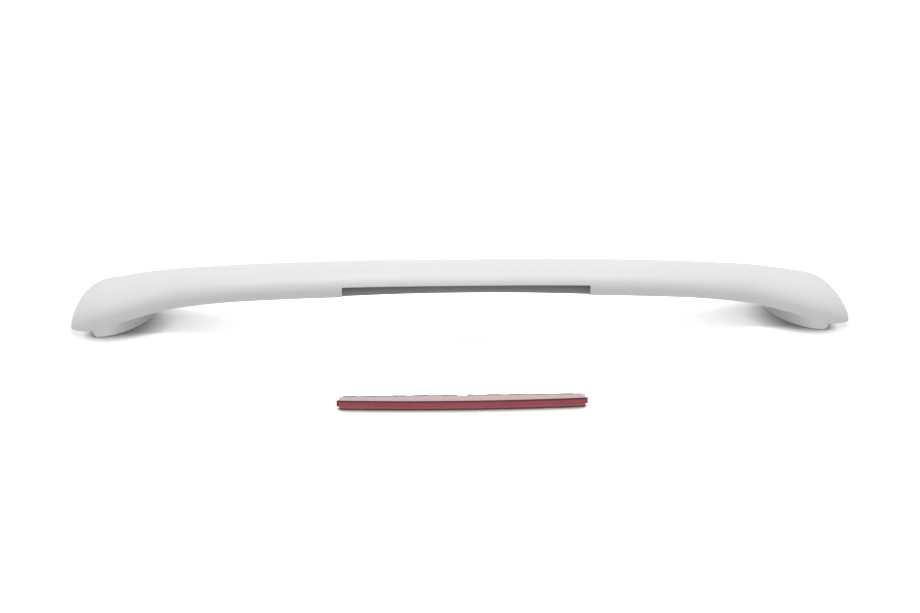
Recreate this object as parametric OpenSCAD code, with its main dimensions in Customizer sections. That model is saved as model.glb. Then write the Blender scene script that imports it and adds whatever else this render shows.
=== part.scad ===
// Boot-lid spoiler with a slot for its third brake lamp, and the lamp taken out in front of it.
// X runs across the car, +Y points to its front and +Z up; z = 0 is the deck that the feet stand on.
// The origin is the middle of the four mounting inserts; sizes along Y are measured from the bar's rear edge.

/* [Bar] */
// Overall width from tip to tip
span = 1220; // [1100:10:1400]
// Height of the bar's top above the deck, in the middle
bar_top = 113.5; // [108:0.5:130]
// Fall of the top from the middle to a tip
arch = 73; // [60:1:75]
// Shape of that fall: 2 is a parabola and more is flatter in the middle
arch_curve = 2.2; // [2:0.1:2.6]
// Thickness of the bar
bar_thick = 37.5; // [34:0.5:42]
// Depth of the bar from rear edge to front edge
bar_chord = 98; // [90:1:120]
// How far the rear edge bows towards the car's front at the tips, before the heel
rear_bow = 91; // [80:1:100]
// How far the front edge bows towards the car's front at the tips
front_bow = 110; // [95:1:120]
// Distance of the thickest line from the rear edge
bar_crest = 42; // [38:1:50]
// Height of the rearmost line above the underside
bar_nose = 10.5; // [8:0.5:14]
// How rounded the section is: 2 is an ellipse and more is squarer
squareness = 2.3; // [2:0.1:3]

/* [Ends] */
// Thickness of an end
end_thick = 46.5; // [42:0.5:54]
// Distance of the thickest line of an end from its heel
end_crest = 62; // [50:1:75]
// Height of the heel's rearmost line above the end's underside
end_nose = 5; // [3:0.5:8]
// Distance that the heel stands out behind the rear edge's even bow
heel = 52; // [44:1:56]
// Height of the tip's cut edge above the deck
skirt = 8; // [5:1:10]
// Length over which a tip rounds off
tip_length = 60; // [50:1:75]
// Distance of the tip's foremost point from the heel line
tip_in = 16; // [8:1:24]

/* [Feet] */
// Distance of a foot's middle from the tip
foot_from_tip = 44; // [38:1:60]
// Distance of a foot's middle in front of the bar's rear edge
foot_y = 129; // [120:1:134]
// Reach of a foot towards the car's centre line
foot_in = 77; // [60:1:90]
// Reach of a foot towards the tip
foot_out = 22; // [16:1:26]
// Reach of a foot behind its middle
foot_back = 92; // [80:1:92]
// Reach of a foot in front of its middle
foot_front = 36; // [30:1:40]
// How far a foot's side leans out from its waist to its rim
foot_flare = 6; // [3:0.5:8]
// Height over which the side leans out
flare_height = 14; // [8:1:16]
// Thickness of a foot's rim
foot_rim = 1.3; // [0.8:0.1:2]
// Radius between a foot's side and the bar above it
foot_fillet = 4; // [2:0.5:6]

/* [Fixings] */
// Distance of the threaded inserts from the tip
insert_from_tip = 58; // [50:1:64]
// Distance of the rear inserts in front of the bar's rear edge
insert_y = 78; // [70:1:90]
// Distance between the two inserts of a foot
insert_gap = 60; // [45:1:68]
// Outside diameter of an insert
insert_d = 10; // [8:0.5:12]
// Length of an insert
insert_length = 16; // [10:1:20]
// Bore of an insert, for an M6 thread
insert_bore = 5; // [4:0.1:6.5]

/* [Lamp recess] */
// Length of the recess
recess_length = 380; // [376:1:420]
// Depth of the recess ahead of the bar's rear edge, on the centre line
recess_depth = 23; // [22:0.5:26]
// Height of the recess's lip above the bar's underside
recess_height = 22; // [20:0.5:26]
// Diameter of the wire hole high in the recess's back wall
wire_hole = 6; // [5:0.5:8]
// Depth of the wire hole
wire_depth = 30; // [10:1:40]

/* [Lamp] */
// Length of the lamp over its end tongues
lamp_length = 362; // [340:1:370]
// Height of the lamp
lamp_height = 15.5; // [14:0.5:17]
// Depth of the lamp in the middle, from the lens's face to the housing's back
lamp_depth = 16; // [15:0.5:18]
// How far the lens's face falls back at the ends, as it follows the bar
lamp_bow = 5; // [3:0.5:5]
// Wall of the lens
lens_wall = 1.8; // [1.2:0.1:2]
// Bevel round the lens's face
lens_bevel = 1; // [0.4:0.1:1.2]
// Wall of the housing
housing_wall = 1.6; // [1.2:0.1:2]
// Depth of the housing behind the lens
housing_depth = 7; // [6.5:0.5:8]
// How far the housing's lip reaches into the lens
lip_depth = 1.4; // [0.8:0.1:1.6]
// Thickness of the housing's lip
lip_thick = 1; // [0.8:0.1:1.2]
// Length of an end tongue
tongue_length = 4; // [3:0.5:6]
// Height of an end tongue
tongue_height = 9; // [6:0.5:12]
// Thickness of an end tongue
tongue_thick = 4; // [2:0.5:5]
// Thickness of the foam tape on the housing's back
tape_thick = 1.6; // [0.8:0.1:2]
// Height at which the foam tape starts above the lamp's lower edge
tape_low = 3; // [2:0.5:6]
// How far the foam tape's wavy edge stands above the housing
tape_over = 1; // [0.4:0.1:1.5]
// Distance of the lens's face behind the bar's rear edge, where the lamp lies
lamp_apart = 206; // [150:1:260]
// Distance of the lamp's middle to the left of the car's centre line
lamp_left = 16; // [0:1:40]

/* [Light board] */
// Number of LEDs
led_count = 16; // [8:2:20]
// Side of a LED's package
led_size = 5; // [3:0.5:6]
// Height of a LED's package
led_height = 1.4; // [1:0.1:1.6]
// Thickness of the board
board_thick = 1.6; // [1:0.1:2]
// Height of the posts that hold the board off the housing's back
post_height = 3; // [2.5:0.1:3.4]
// Diameter of a post
post_d = 5; // [4:0.5:6]
// Diameter of the pin that holds the board on its post
pin_d = 2; // [1.5:0.1:2.5]
// Outside diameter of the rubber grommet that the wires pass
grommet_d = 8; // [7:0.5:9]
// Depth of the groove round the grommet
grommet_groove = 1; // [0.6:0.1:1.2]
// Bore of the grommet
grommet_bore = 3.6; // [3:0.1:4]
// Thickness of each of the grommet's flanges
grommet_flange = 1; // [0.8:0.1:1.2]
// Play between parts that slide into one another
play = 0.2; // [0.1:0.05:0.3]

/* [Hidden] */

$fn = 48;
half = span / 2;
foot_x = half - foot_from_tip;
insert_x = half - insert_from_tip;
bar_steps = 20;  // sections from the middle to a foot
foot_steps = 18; // along a foot
tip_steps = 9;   // and round the tip
upper = 16;      // points over the top of a section
lower = 5;       // points under its front
back = 6;        // points under its back
side_points = 7; // points down a foot's side
seam = 0.3;      // step in x where a foot begins and ends
seat_gap = 0.05; // between the lamp's board and its posts

// 0 before a, 1 after b and a smooth rise between
function ease(a, b, x) = let (s = min(1, max(0, (x - a) / (b - a)))) s * s * (3 - 2 * s);
function mix(a, b, s) = a + (b - a) * s;
function power(v, p) = sign(v) * pow(abs(v), p);

// The bar's lines at t, which is 0 in the middle and 1 at a tip
function swell(t) = ease(0.55, 0.95, t);
function rear_edge(t) = rear_bow * t * t - heel * ease(0.715, 1.035, t);
function front_edge(t) = bar_chord + front_bow * t * t;
function top_line(t) = bar_top - arch * pow(t, arch_curve);
function underside(t) = top_line(t) - mix(bar_thick, end_thick, swell(t));
function crest(t) = mix(bar_crest, end_crest, swell(t));
function nose(t) = mix(bar_nose, end_nose, ease(0.79, 0.9, t));

// A tip draws in towards this point as it rounds off
tip_y = rear_edge(1) + tip_in;
tip_z = skirt + 1;
function tip_share(t) = let (k = max(0, (t * half - half + tip_length) / tip_length))
    max(0.06, pow(1 - pow(min(1, k), 2.7), 1 / 2.7));

// Point of the section at t: four superellipse quarters round one centre, 0 in front, 90 on top
function rim_point(t, a) = let (
    cy = rear_edge(t) + crest(t),
    cz = underside(t) + nose(t),
    dy = (cos(a) < 0 ? crest(t) : front_edge(t) - cy) * power(cos(a), 2 / squareness),
    dz = (sin(a) < 0 ? nose(t) : top_line(t) - cz) * power(sin(a), 2 / squareness))
    [mix(tip_y, cy + dy, tip_share(t)), max(skirt, mix(tip_z, cz + dz, tip_share(t)))];

// Angle and height of the underside's point at y
function low_angle(t, y) = let (
    cy = rear_edge(t) + crest(t),
    away = (y - tip_y) / tip_share(t) + tip_y - cy,
    side = pow(min(1, abs(away) / (away > 0 ? front_edge(t) - cy : crest(t))), squareness / 2))
    away > 0 ? -acos(side) : acos(side) - 180;
function low_point(t, y) = rim_point(t, low_angle(t, y));

// A foot's rim at x, behind or ahead of its middle
function foot_edge(x, reach) = let (
    n = x > foot_x ? 2.6 : 1.7,
    u = min(1, abs(x - foot_x) / (x > foot_x ? foot_out : foot_in)))
    foot_y + reach * pow(1 - pow(u, n), 1 / n);

function reversed(list) = [for (i = [len(list) - 1 : -1 : 0]) list[i]];

// A foot's side, from under the bar down to the deck
function foot_side(t, start, neck, rim) = let (
    top = low_point(t, start).y,
    drop = min(foot_fillet, 0.45 * top),
    low = min(flare_height, 0.5 * (top - drop)))
    [for (i = [1, 2]) [mix(start, neck, sin(45 * i)), top - drop * (1 - cos(45 * i))],
     for (i = [0 : 3]) [mix(neck, rim, pow(i / 3, 1.8)), mix(low, foot_rim, i / 3)],
     [mix(rim, foot_y, 0.01), 0]];

function foot_parts(x, t) = let (
    rear = foot_edge(x, -foot_back),
    ahead = foot_edge(x, foot_front),
    heel_y = rim_point(t, 180).x,
    lean = foot_edge(min(x + 0.5, foot_x + foot_out), -foot_back)
        - foot_edge(max(x - 0.5, foot_x - foot_in), -foot_back),
    offset = max(1.2, min(foot_flare, (rear - heel_y) / 2 + 1.5)) * min(2, sqrt(1 + lean * lean)),
    neck = rear + min(offset, 0.35 * (foot_y - rear)),
    front_neck = ahead - min(foot_flare, 0.35 * (ahead - foot_y)),
    start = neck - min(foot_fillet, max(0.2, 0.8 * (neck - heel_y))),
    front_start = min(front_neck + foot_fillet, rim_point(t, 0).x - 2))
    [start, front_start, concat(foot_side(t, front_start, front_neck, ahead),
        reversed(foot_side(t, start, neck, rear)))];

// Where the underside is plain, its points close in on the foot to come
function plain_parts(x, t) = let (
    foot_near = ease(recess_length / 2 + 10, foot_x - foot_in, x),
    rear = rim_point(t, 180).x,
    front = rim_point(t, 0).x,
    gap = 0.12 * (front - rear),
    want = x < foot_x ? mix(recess_depth, foot_y - 1.5, foot_near) : foot_y - 10,
    start = max(rear + gap, min(want, front - 2 * gap)),
    front_start = min(start + (x < foot_x ? mix(24, 3, foot_near) : 20), front - gap / 2))
    [start, front_start, [for (i = [1 : 2 * side_points])
        low_point(t, mix(front_start, start, i / (2 * side_points + 1)))]];

// The whole section at x, as a ring of [y, z]
function section(x) = let (
    t = abs(x) / half,
    standing = abs(x) > foot_x - foot_in && abs(x) < foot_x + foot_out,
    parts = standing ? foot_parts(abs(x), t) : plain_parts(abs(x), t),
    end_angle = low_angle(t, parts[0]))
    concat([for (i = [0 : upper - 1]) rim_point(t, 180 - 180 * i / (upper - 1))],
        [for (i = [1 : lower]) rim_point(t, low_angle(t, parts[1]) * i / lower)],
        parts[2],
        [for (i = [0 : back - 1]) rim_point(t, mix(end_angle, -180, i / back))]);

half_xs = let (a = foot_x - foot_in, b = foot_x + foot_out) concat(
    [for (i = [0 : bar_steps]) (a - seam) * i / bar_steps],
    [for (i = [0 : foot_steps]) mix(a + seam, b - seam, (1 - cos(180 * i / foot_steps)) / 2)],
    [for (i = [0 : tip_steps]) mix(b + seam, half, sin(90 * i / tip_steps))]);
xs = concat([for (i = [len(half_xs) - 1 : -1 : 1]) -half_xs[i]], half_xs);

// Skin over a list of rings that have as many points each
module skin(rings) {
    n = len(rings[0]);
    m = len(rings);
    points = [for (r = rings, p = r) p];
    sides = [for (j = [0 : m - 2], i = [0 : n - 1]) let (a = j * n + i, b = j * n + (i + 1) % n)
        each [[a, b, b + n], [a, b + n, a + n]]];
    caps = [[for (i = [n - 1 : -1 : 0]) i], [for (i = [0 : n - 1]) (m - 1) * n + i]];
    polyhedron(points, concat(sides, caps));
}

// The recess follows the bar's arch, with a straight back wall and a wire hole high in it
module recess() {
    n = 24;
    lip = [for (i = [0 : n]) let (x = recess_length * (i / n - 0.5), t = abs(x) / half)
        [x, underside(t) + recess_height]];
    translate([0, recess_depth, 0]) rotate([90, 0, 0]) linear_extrude(recess_depth + span)
        polygon(concat(lip, [[recess_length / 2, 0], [-recess_length / 2, 0]]));
    translate([0, recess_depth - 1, underside(0) + recess_height - wire_hole / 2 - 1.5])
        rotate([-90, 0, 0]) cylinder(d = wire_hole, h = wire_depth + 1);
}

function insert_at(side, row) = [side * insert_x, insert_y + row * insert_gap, 0];

module spoiler_body() color("gainsboro") difference() {
    skin([for (x = xs) [for (p = section(x)) [x, p.x, p.y]]]);
    recess();
    for (side = [-1, 1], row = [0, 1])
        translate(insert_at(side, row) - [0, 0, 1]) cylinder(d = insert_d, h = insert_length + 1);
}

module foot_insert(side, row) color("goldenrod")
    translate(insert_at(side, row)) difference() {
        cylinder(d = insert_d, h = insert_length);
        translate([0, 0, -1]) cylinder(d = insert_bore, h = insert_length);
    }

module foot_insert_left_rear() foot_insert(-1, 0);
module foot_insert_left_front() foot_insert(-1, 1);
module foot_insert_right_rear() foot_insert(1, 0);
module foot_insert_right_front() foot_insert(1, 1);

// The lamp's own frame: X along it, the lens's face at y = 0 and the lower edge at z = 0
module lamp_place() translate([-lamp_left, -lamp_apart, 0]) children();

lens_length = lamp_length - 2 * tongue_length;
lens_back = lamp_depth - housing_depth;
board_y = lamp_depth - housing_wall - post_height - board_thick - seat_gap;
board_margin = lens_wall + play + lip_thick + play;
board_length = lens_length - 2 * board_margin;
board_height = lamp_height - 2 * board_margin;
led_pitch = board_length / led_count;
post_xs = [for (k = [1, 3, 5, 7]) led_pitch * (round(led_count * k / 8) - led_count / 2)];
function face_y(x, length) = lamp_bow * pow(2 * x / length, 2);

module box_between(a, b) translate(a) cube(b - a);

module lamp_lens() color("firebrick") lamp_place() {
    n = 24;
    xs = [for (i = [0 : n]) lens_length * (i / n - 0.5)];
    inner = lens_length / 2 - lens_wall;
    difference() {
        skin([for (x = xs) let (f = face_y(x, lens_length), e = lens_bevel, h = lamp_height)
            [[x, lens_back, 0], [x, f + e, 0], [x, f, e], [x, f, h - e], [x, f + e, h], [x, lens_back, h]]]);
        skin([for (x = xs * inner / (lens_length / 2)) let (
            f = face_y(x, lens_length) + lens_wall, w = lens_wall, h = lamp_height - lens_wall)
            [[x, lens_back + 1, w], [x, f, w], [x, f, h], [x, lens_back + 1, h]]]);
    }
}

module lamp_housing() color("lightgray") lamp_place() {
    x = lens_length / 2;
    lip_x = x - lens_wall - play;
    lip_z = lens_wall + play;
    difference() {
        union() {
            box_between([-x, lens_back, 0], [x, lamp_depth, lamp_height]);
            box_between([-lip_x, lens_back - lip_depth, lip_z], [lip_x, lens_back + 1, lamp_height - lip_z]);
            for (side = [-1, 1])
                translate([side * (x + tongue_length / 2 - 0.5), lens_back + tongue_thick / 2, lamp_height / 2])
                    cube([tongue_length + 1, tongue_thick, tongue_height], center = true);
        }
        box_between([-lip_x + lip_thick, -1, lip_z + lip_thick],
            [lip_x - lip_thick, lamp_depth - housing_wall, lamp_height - lip_z - lip_thick]);
        translate([0, lamp_depth - housing_wall - 1, lamp_height / 2]) rotate([-90, 0, 0])
            cylinder(d = grommet_d - 2 * grommet_groove, h = housing_wall + 2);
    }
    for (px = post_xs) translate([px, lamp_depth - housing_wall, lamp_height / 2]) rotate([90, 0, 0]) {
        cylinder(d = post_d, h = post_height);
        cylinder(d = pin_d, h = post_height + board_thick + 0.6);
    }
}

module lamp_board() color("seagreen") lamp_place() difference() {
    translate([-board_length / 2, board_y, (lamp_height - board_height) / 2])
        cube([board_length, board_thick, board_height]);
    for (px = post_xs) translate([px, board_y - 1, lamp_height / 2]) rotate([-90, 0, 0])
        cylinder(d = pin_d + play, h = board_thick + 2);
}

module lamp_leds() color("lightyellow") lamp_place() for (i = [0 : led_count - 1])
    translate([led_pitch * (i + 0.5) - board_length / 2, board_y - led_height / 2, lamp_height / 2])
        cube([led_size, led_height, led_size], center = true);

// One resistor to every two LEDs, on the back of the board
module lamp_resistors() color("dimgray") lamp_place() for (i = [0 : 2 : led_count - 1])
    translate([led_pitch * (i + 0.5) - board_length / 2, board_y + board_thick + 0.3, lamp_height / 2])
        cube([3.2, 0.6, 1.6], center = true);

module lamp_grommet() color("dimgray") lamp_place()
    translate([0, lamp_depth - housing_wall - grommet_flange, lamp_height / 2]) rotate([-90, 0, 0])
        rotate_extrude() let (r = grommet_d / 2, g = r - grommet_groove, a = grommet_flange,
            b = grommet_flange + housing_wall)
            polygon([[grommet_bore / 2, 0], [r, 0], [r, a], [g, a], [g, b], [r, b],
                [r, b + grommet_flange], [grommet_bore / 2, b + grommet_flange]]);

// Two strips of foam tape, cut by hand, clear of the grommet
module lamp_tape() color("whitesmoke") lamp_place() for (side = [-1, 1]) {
    n = 36;
    start = grommet_d / 2 + 3;
    reach = lens_length / 2 - 5 - start;
    top = [for (i = [n : -1 : 0]) [start + reach * i / n,
        lamp_height + tape_over * (0.55 + 0.3 * sin(i * 47 + side * 70) + 0.15 * sin(i * 113))]];
    translate([0, lamp_depth + tape_thick, 0]) rotate([90, 0, 0]) linear_extrude(tape_thick)
        scale([side, 1]) polygon(concat([[start, tape_low], [start + reach, tape_low]], top));
}

module from_inserts() translate([0, -insert_y - insert_gap / 2, 0]) children();

from_inserts() {
    spoiler_body();
    foot_insert_left_rear();
    foot_insert_left_front();
    foot_insert_right_rear();
    foot_insert_right_front();
    lamp_lens();
    lamp_housing();
    lamp_board();
    lamp_leds();
    lamp_resistors();
    lamp_grommet();
    lamp_tape();
}
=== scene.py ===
import math

import bmesh
import bpy
import numpy as np
from mathutils import Matrix, Vector


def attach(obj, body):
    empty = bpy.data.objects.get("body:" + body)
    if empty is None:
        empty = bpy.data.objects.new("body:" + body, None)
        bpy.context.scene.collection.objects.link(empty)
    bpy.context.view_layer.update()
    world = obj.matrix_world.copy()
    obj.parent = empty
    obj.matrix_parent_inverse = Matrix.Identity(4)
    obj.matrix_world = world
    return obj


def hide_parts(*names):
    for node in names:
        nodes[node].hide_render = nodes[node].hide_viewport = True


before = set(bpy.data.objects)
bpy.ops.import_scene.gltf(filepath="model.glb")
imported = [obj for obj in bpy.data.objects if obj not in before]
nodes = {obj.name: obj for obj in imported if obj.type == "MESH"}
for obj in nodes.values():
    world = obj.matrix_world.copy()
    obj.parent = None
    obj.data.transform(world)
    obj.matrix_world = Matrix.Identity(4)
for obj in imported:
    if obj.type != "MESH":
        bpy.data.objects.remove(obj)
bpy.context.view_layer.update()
mm = 0.001


# The photo's camera: three-quarters down on the spoiler's rear, a little to its left
view = {
    "down": 26.0,          # degrees below the horizon
    "turn": 3.342,         # degrees towards +X
    "roll": 0.902,
    "fieldWide": 30.0,     # degrees across the picture
    "distance": 2612.0,    # mm to the point below
    "point": (0, -108, 76),
    "pixel": (467, 299.8),  # where that point lies in the picture
    "wide": 920, "high": 613,
    "sensor": 36, "near": 0.05, "far": 60,
}


def placeCamera():
    wide, high = view["wide"], view["high"]
    halfField = math.tan(math.radians(view["fieldWide"] / 2))
    focal = wide / 2 / halfField
    down, turn, roll = (math.radians(view[k]) for k in ("down", "turn", "roll"))
    forward = Vector((math.sin(turn) * math.cos(down), math.cos(turn) * math.cos(down), -math.sin(down)))
    level = forward.cross(Vector((0, 0, 1))).normalized()
    lift = level.cross(forward)
    right = level * math.cos(roll) + lift * math.sin(roll)
    up = lift * math.cos(roll) - level * math.sin(roll)
    px, py = view["pixel"]
    toPoint = forward + right * ((px - wide / 2) / focal) + up * ((high / 2 - py) / focal)
    place = (Vector(view["point"]) - toPoint * view["distance"]) * mm
    data = bpy.data.cameras.new("camera")
    data.sensor_width = view["sensor"]
    data.lens = view["sensor"] / 2 / halfField
    data.clip_start, data.clip_end = view["near"], view["far"]
    camera = bpy.data.objects.new("camera", data)
    camera.matrix_world = Matrix((
        (right.x, up.x, -forward.x, place.x),
        (right.y, up.y, -forward.y, place.y),
        (right.z, up.z, -forward.z, place.z),
        (0, 0, 0, 1)))
    bpy.context.scene.collection.objects.link(camera)
    bpy.context.scene.camera = camera


placeCamera()
print("camera placed")


def newMaterial(name):
    material = bpy.data.materials.new(name)
    material.use_nodes = True
    tree = material.node_tree
    shader = tree.nodes["Principled BSDF"]
    return material, tree, shader


def addNode(tree, kind, inputs=None, **settings):
    node = tree.nodes.new(kind)
    for key, value in settings.items():
        setattr(node, key, value)
    for key, value in (inputs or {}).items():
        if isinstance(value, bpy.types.NodeSocket):
            tree.links.new(value, node.inputs[key])
        else:
            node.inputs[key].default_value = value
    return node


def link(tree, out, into):
    tree.links.new(out, into)


# Fine moulded or sprayed skin: small bumps, and a colour that drifts a little
def makeSkinGroup():
    group = bpy.data.node_groups.new("mouldedSkin", "ShaderNodeTree")
    for name, kind, value in (("Base", "NodeSocketColor", (0.8, 0.8, 0.8, 1)),
                              ("Tint", "NodeSocketColor", (0.78, 0.78, 0.76, 1)),
                              ("Drift", "NodeSocketFloat", 6.0), ("Grain", "NodeSocketFloat", 1500.0),
                              ("Roughness", "NodeSocketFloat", 0.45), ("Spread", "NodeSocketFloat", 0.08),
                              ("Bump", "NodeSocketFloat", 0.05), ("Depth", "NodeSocketFloat", 0.0001)):
        socket = group.interface.new_socket(name, in_out="INPUT", socket_type=kind)
        socket.default_value = value
    for name, kind in (("Color", "NodeSocketColor"), ("Roughness", "NodeSocketFloat"), ("Normal", "NodeSocketVector")):
        group.interface.new_socket(name, in_out="OUTPUT", socket_type=kind)
    inside = addNode(group, "NodeGroupInput")
    outside = addNode(group, "NodeGroupOutput")
    place = addNode(group, "ShaderNodeTexCoord").outputs["Object"]
    drift = addNode(group, "ShaderNodeTexNoise", {"Vector": place, "Scale": inside.outputs["Drift"], "Detail": 3.0})
    grain = addNode(group, "ShaderNodeTexNoise", {"Vector": place, "Scale": inside.outputs["Grain"], "Detail": 2.0})
    soft = addNode(group, "ShaderNodeMapRange", {"Value": drift.outputs["Fac"], "From Min": 0.3, "From Max": 0.7})
    colour = addNode(group, "ShaderNodeMix", {"Factor": soft.outputs["Result"]}, data_type="RGBA")
    link(group, inside.outputs["Base"], colour.inputs[6])
    link(group, inside.outputs["Tint"], colour.inputs[7])
    away = addNode(group, "ShaderNodeMath", {0: grain.outputs["Fac"], 1: 0.5}, operation="SUBTRACT")
    spread = addNode(group, "ShaderNodeMath", {0: away.outputs[0], 1: inside.outputs["Spread"],
                                               2: inside.outputs["Roughness"]}, operation="MULTIPLY_ADD")
    bump = addNode(group, "ShaderNodeBump", {"Height": grain.outputs["Fac"], "Strength": inside.outputs["Bump"],
                                             "Distance": inside.outputs["Depth"]})
    link(group, colour.outputs[2], outside.inputs["Color"])
    link(group, spread.outputs[0], outside.inputs["Roughness"])
    link(group, bump.outputs["Normal"], outside.inputs["Normal"])
    return group


skinGroup = makeSkinGroup()


def skinMaterial(name, base, tint, roughness, drift=6.0, grain=1500.0, spread=0.08, bump=0.05, depth=0.0001,
                 **sockets):
    material, tree, shader = newMaterial(name)
    skin = addNode(tree, "ShaderNodeGroup", node_tree=skinGroup)
    for key, value in (("Base", (*base, 1)), ("Tint", (*tint, 1)), ("Drift", drift), ("Grain", grain),
                       ("Roughness", roughness), ("Spread", spread), ("Bump", bump), ("Depth", depth)):
        skin.inputs[key].default_value = value
    link(tree, skin.outputs["Color"], shader.inputs["Base Color"])
    link(tree, skin.outputs["Roughness"], shader.inputs["Roughness"])
    link(tree, skin.outputs["Normal"], shader.inputs["Normal"])
    for key, value in sockets.items():
        shader.inputs[key].default_value = value
    return material


# The moulding's sizes in mm; y is measured from the bar's rear edge, t is 0 in the middle and 1 at a tip
bar = {
    "half": 610, "backToOrigin": 108,
    "top": 113.37, "arch": 73, "archCurve": 2.2,
    "thick": 37.5, "endThick": 46.5, "thickFrom": 0.55, "thickTo": 0.95,
    "chord": 98, "frontBow": 109.6, "bow": 91,
    "heel": 52, "heelFrom": 0.715, "heelTo": 1.035,
    "crest": 42, "endCrest": 62,
    "nose": 10.5, "endNose": 5, "noseFrom": 0.79, "noseTo": 0.9,
    "square": 2.3, "skirt": 8, "skirtRound": 1.2,
    "skirtSpread": 0.55,  # least rise from one point of the skirt's edge to the next
    "skirtLow": 1.4, "skirtFrom": 566, "skirtTo": 588,  # the skirt rises to its height past the foot
    "tipLength": 60, "tipIn": 16, "tipLift": 1, "tipCurve": 2.7, "tipLeast": 0.06,
}
foot = {
    "x": 566, "y": 129, "inward": 77, "outward": 22, "back": 92, "front": 36,
    "inCurve": 1.7, "outCurve": 2.3, "flare": 6, "flareHeight": 14, "rim": 1.3, "tuck": 0.9, "fillet": 4,
    "blend": 6.5, "blendIn": 26, "blendOut": 18, "blendStep": 0.4,  # how softly the bar runs into a foot
    "blendFrom": 24,  # the softening starts this many points up the bar's front
    "lift": 7.2, "liftLength": 20,  # the sole runs up into the tip
}
# paintedShade is the grey of the painted shade under the recess's lip
recess = {"length": 380, "depth": 23, "height": 22, "edge": 0.8, "paintedShade": 0.06}
holes = {"wire": 6, "wireDeep": 30, "belowLip": 4.5,
         "insert": 10, "insertDeep": 16.05, "insertX": 552, "insertY": 30, "sides": 48}
# Points round a section, and sections along the moulding
detail = {"upper": 60, "side": 11, "rear": 23, "wall": 8, "ceiling": 10, "corner": 4,
          "step": 7.0, "foot": 80, "tip": 26}


def ease(a, b, x):
    s = min(1.0, max(0.0, (x - a) / (b - a)))
    return s * s * (3 - 2 * s)


def mix(a, b, s):
    return a + (b - a) * s


def barLines(t):
    swell = ease(bar["thickFrom"], bar["thickTo"], t)
    top = bar["top"] - bar["arch"] * t ** bar["archCurve"]
    return {
        "rear": bar["bow"] * t * t - bar["heel"] * ease(bar["heelFrom"], bar["heelTo"], t),
        "front": bar["chord"] + bar["frontBow"] * t * t,
        "top": top,
        "under": top - mix(bar["thick"], bar["endThick"], swell),
        "crest": mix(bar["crest"], bar["endCrest"], swell),
        "nose": mix(bar["nose"], bar["endNose"], ease(bar["noseFrom"], bar["noseTo"], t)),
    }


def tipShare(t):  # how far a section has drawn in towards the tip's point
    k = min(1.0, max(0.0, (t * bar["half"] - bar["half"] + bar["tipLength"]) / bar["tipLength"]))
    return max(bar["tipLeast"], (1 - k ** bar["tipCurve"]) ** (1 / bar["tipCurve"]))


class Section:  # four superellipse quarters round one centre: angle 0 in front, half pi on top
    def __init__(self, x):
        t = abs(x) / bar["half"]
        lines = barLines(t)
        self.middle = lines["rear"] + lines["crest"]
        self.level = lines["under"] + lines["nose"]
        self.ahead, self.behind = lines["front"] - self.middle, lines["crest"]
        self.above, self.below = lines["top"] - self.level, lines["nose"]
        self.share = tipShare(t)
        self.skirt = mix(bar["skirtLow"], bar["skirt"], ease(bar["skirtFrom"], bar["skirtTo"], abs(x)))
        self.tipY = barLines(1.0)["rear"] + bar["tipIn"]
        self.tipZ = bar["skirt"] + bar["tipLift"]

    def free(self, angle):  # the point before the skirt's cut
        c, s = math.cos(angle), math.sin(angle)
        p = 2 / bar["square"]
        y = self.middle + math.copysign(abs(c) ** p, c) * (self.ahead if c > 0 else self.behind)
        z = self.level + math.copysign(abs(s) ** p, s) * (self.above if s > 0 else self.below)
        return mix(self.tipY, y, self.share), mix(self.tipZ, z, self.share)

    def point(self, angle):  # the cut's edge is rounded
        y, z = self.free(angle)
        r = bar["skirtRound"]
        if z < self.skirt + r:
            z = self.skirt + max(0.0, z - self.skirt + r) ** 2 / (4 * r)
        return y, z

    def lowAngle(self, y):  # the underside's angle at y, from -pi to 0
        away = (y - self.tipY) / self.share + self.tipY - self.middle
        side = min(1.0, abs(away) / (self.ahead if away > 0 else self.behind)) ** (bar["square"] / 2)
        return -math.acos(side) if away > 0 else math.acos(side) - math.pi

    def lipAngle(self, rise=0.0):
        part = min(0.9, max(0.02, (recess["height"] - self.below) / self.above)) + rise / self.above
        return math.pi - math.asin(part ** (bar["square"] / 2))

    def levelAngle(self, low, high, z):  # between low and high, where the outside passes the level z
        if self.free(low)[1] >= z:
            return low
        for _ in range(40):
            half = (low + high) / 2
            low, high = (half, high) if self.free(half)[1] < z else (low, half)
        return high

    def skirtAngles(self, low, high):  # five angles round the skirt's edge, from the underside up
        r, least, lowest = bar["skirtRound"], 0.02 * (high - low), self.free(low)[1]
        angles = []
        for k in (-1, -0.5, 0, 0.5, 1.2):
            level = max(self.skirt + r * k, lowest + bar["skirtSpread"] * (len(angles) + 1))
            angle = self.levelAngle(low, high, level)
            angles.append(low + math.copysign(max(abs(angle - low), abs(least) * (len(angles) + 2)), high - low))
        for i in range(1, 5):
            if abs(angles[i] - low) < abs(angles[i - 1] - low) + abs(least) * 0.3:
                angles[i] = angles[i - 1] + least * 0.3
        return angles


def spread(start, end, count):
    return list(np.linspace(start, end, count))


def bend(a, corner, b, count):  # a rounded corner from a to b
    return [tuple((1 - s) ** 2 * p + 2 * s * (1 - s) * c + s * s * q for p, c, q in zip(a, corner, b))
            for s in spread(0, 1, count)]


def footEdge(x, reach):  # the rim's y at x
    away = x - foot["x"]
    n = foot["outCurve"] if away > 0 else foot["inCurve"]
    u = min(1.0, abs(away) / (foot["outward"] if away > 0 else foot["inward"]))
    return foot["y"] + reach * (1 - u ** n) ** (1 / n)


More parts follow.
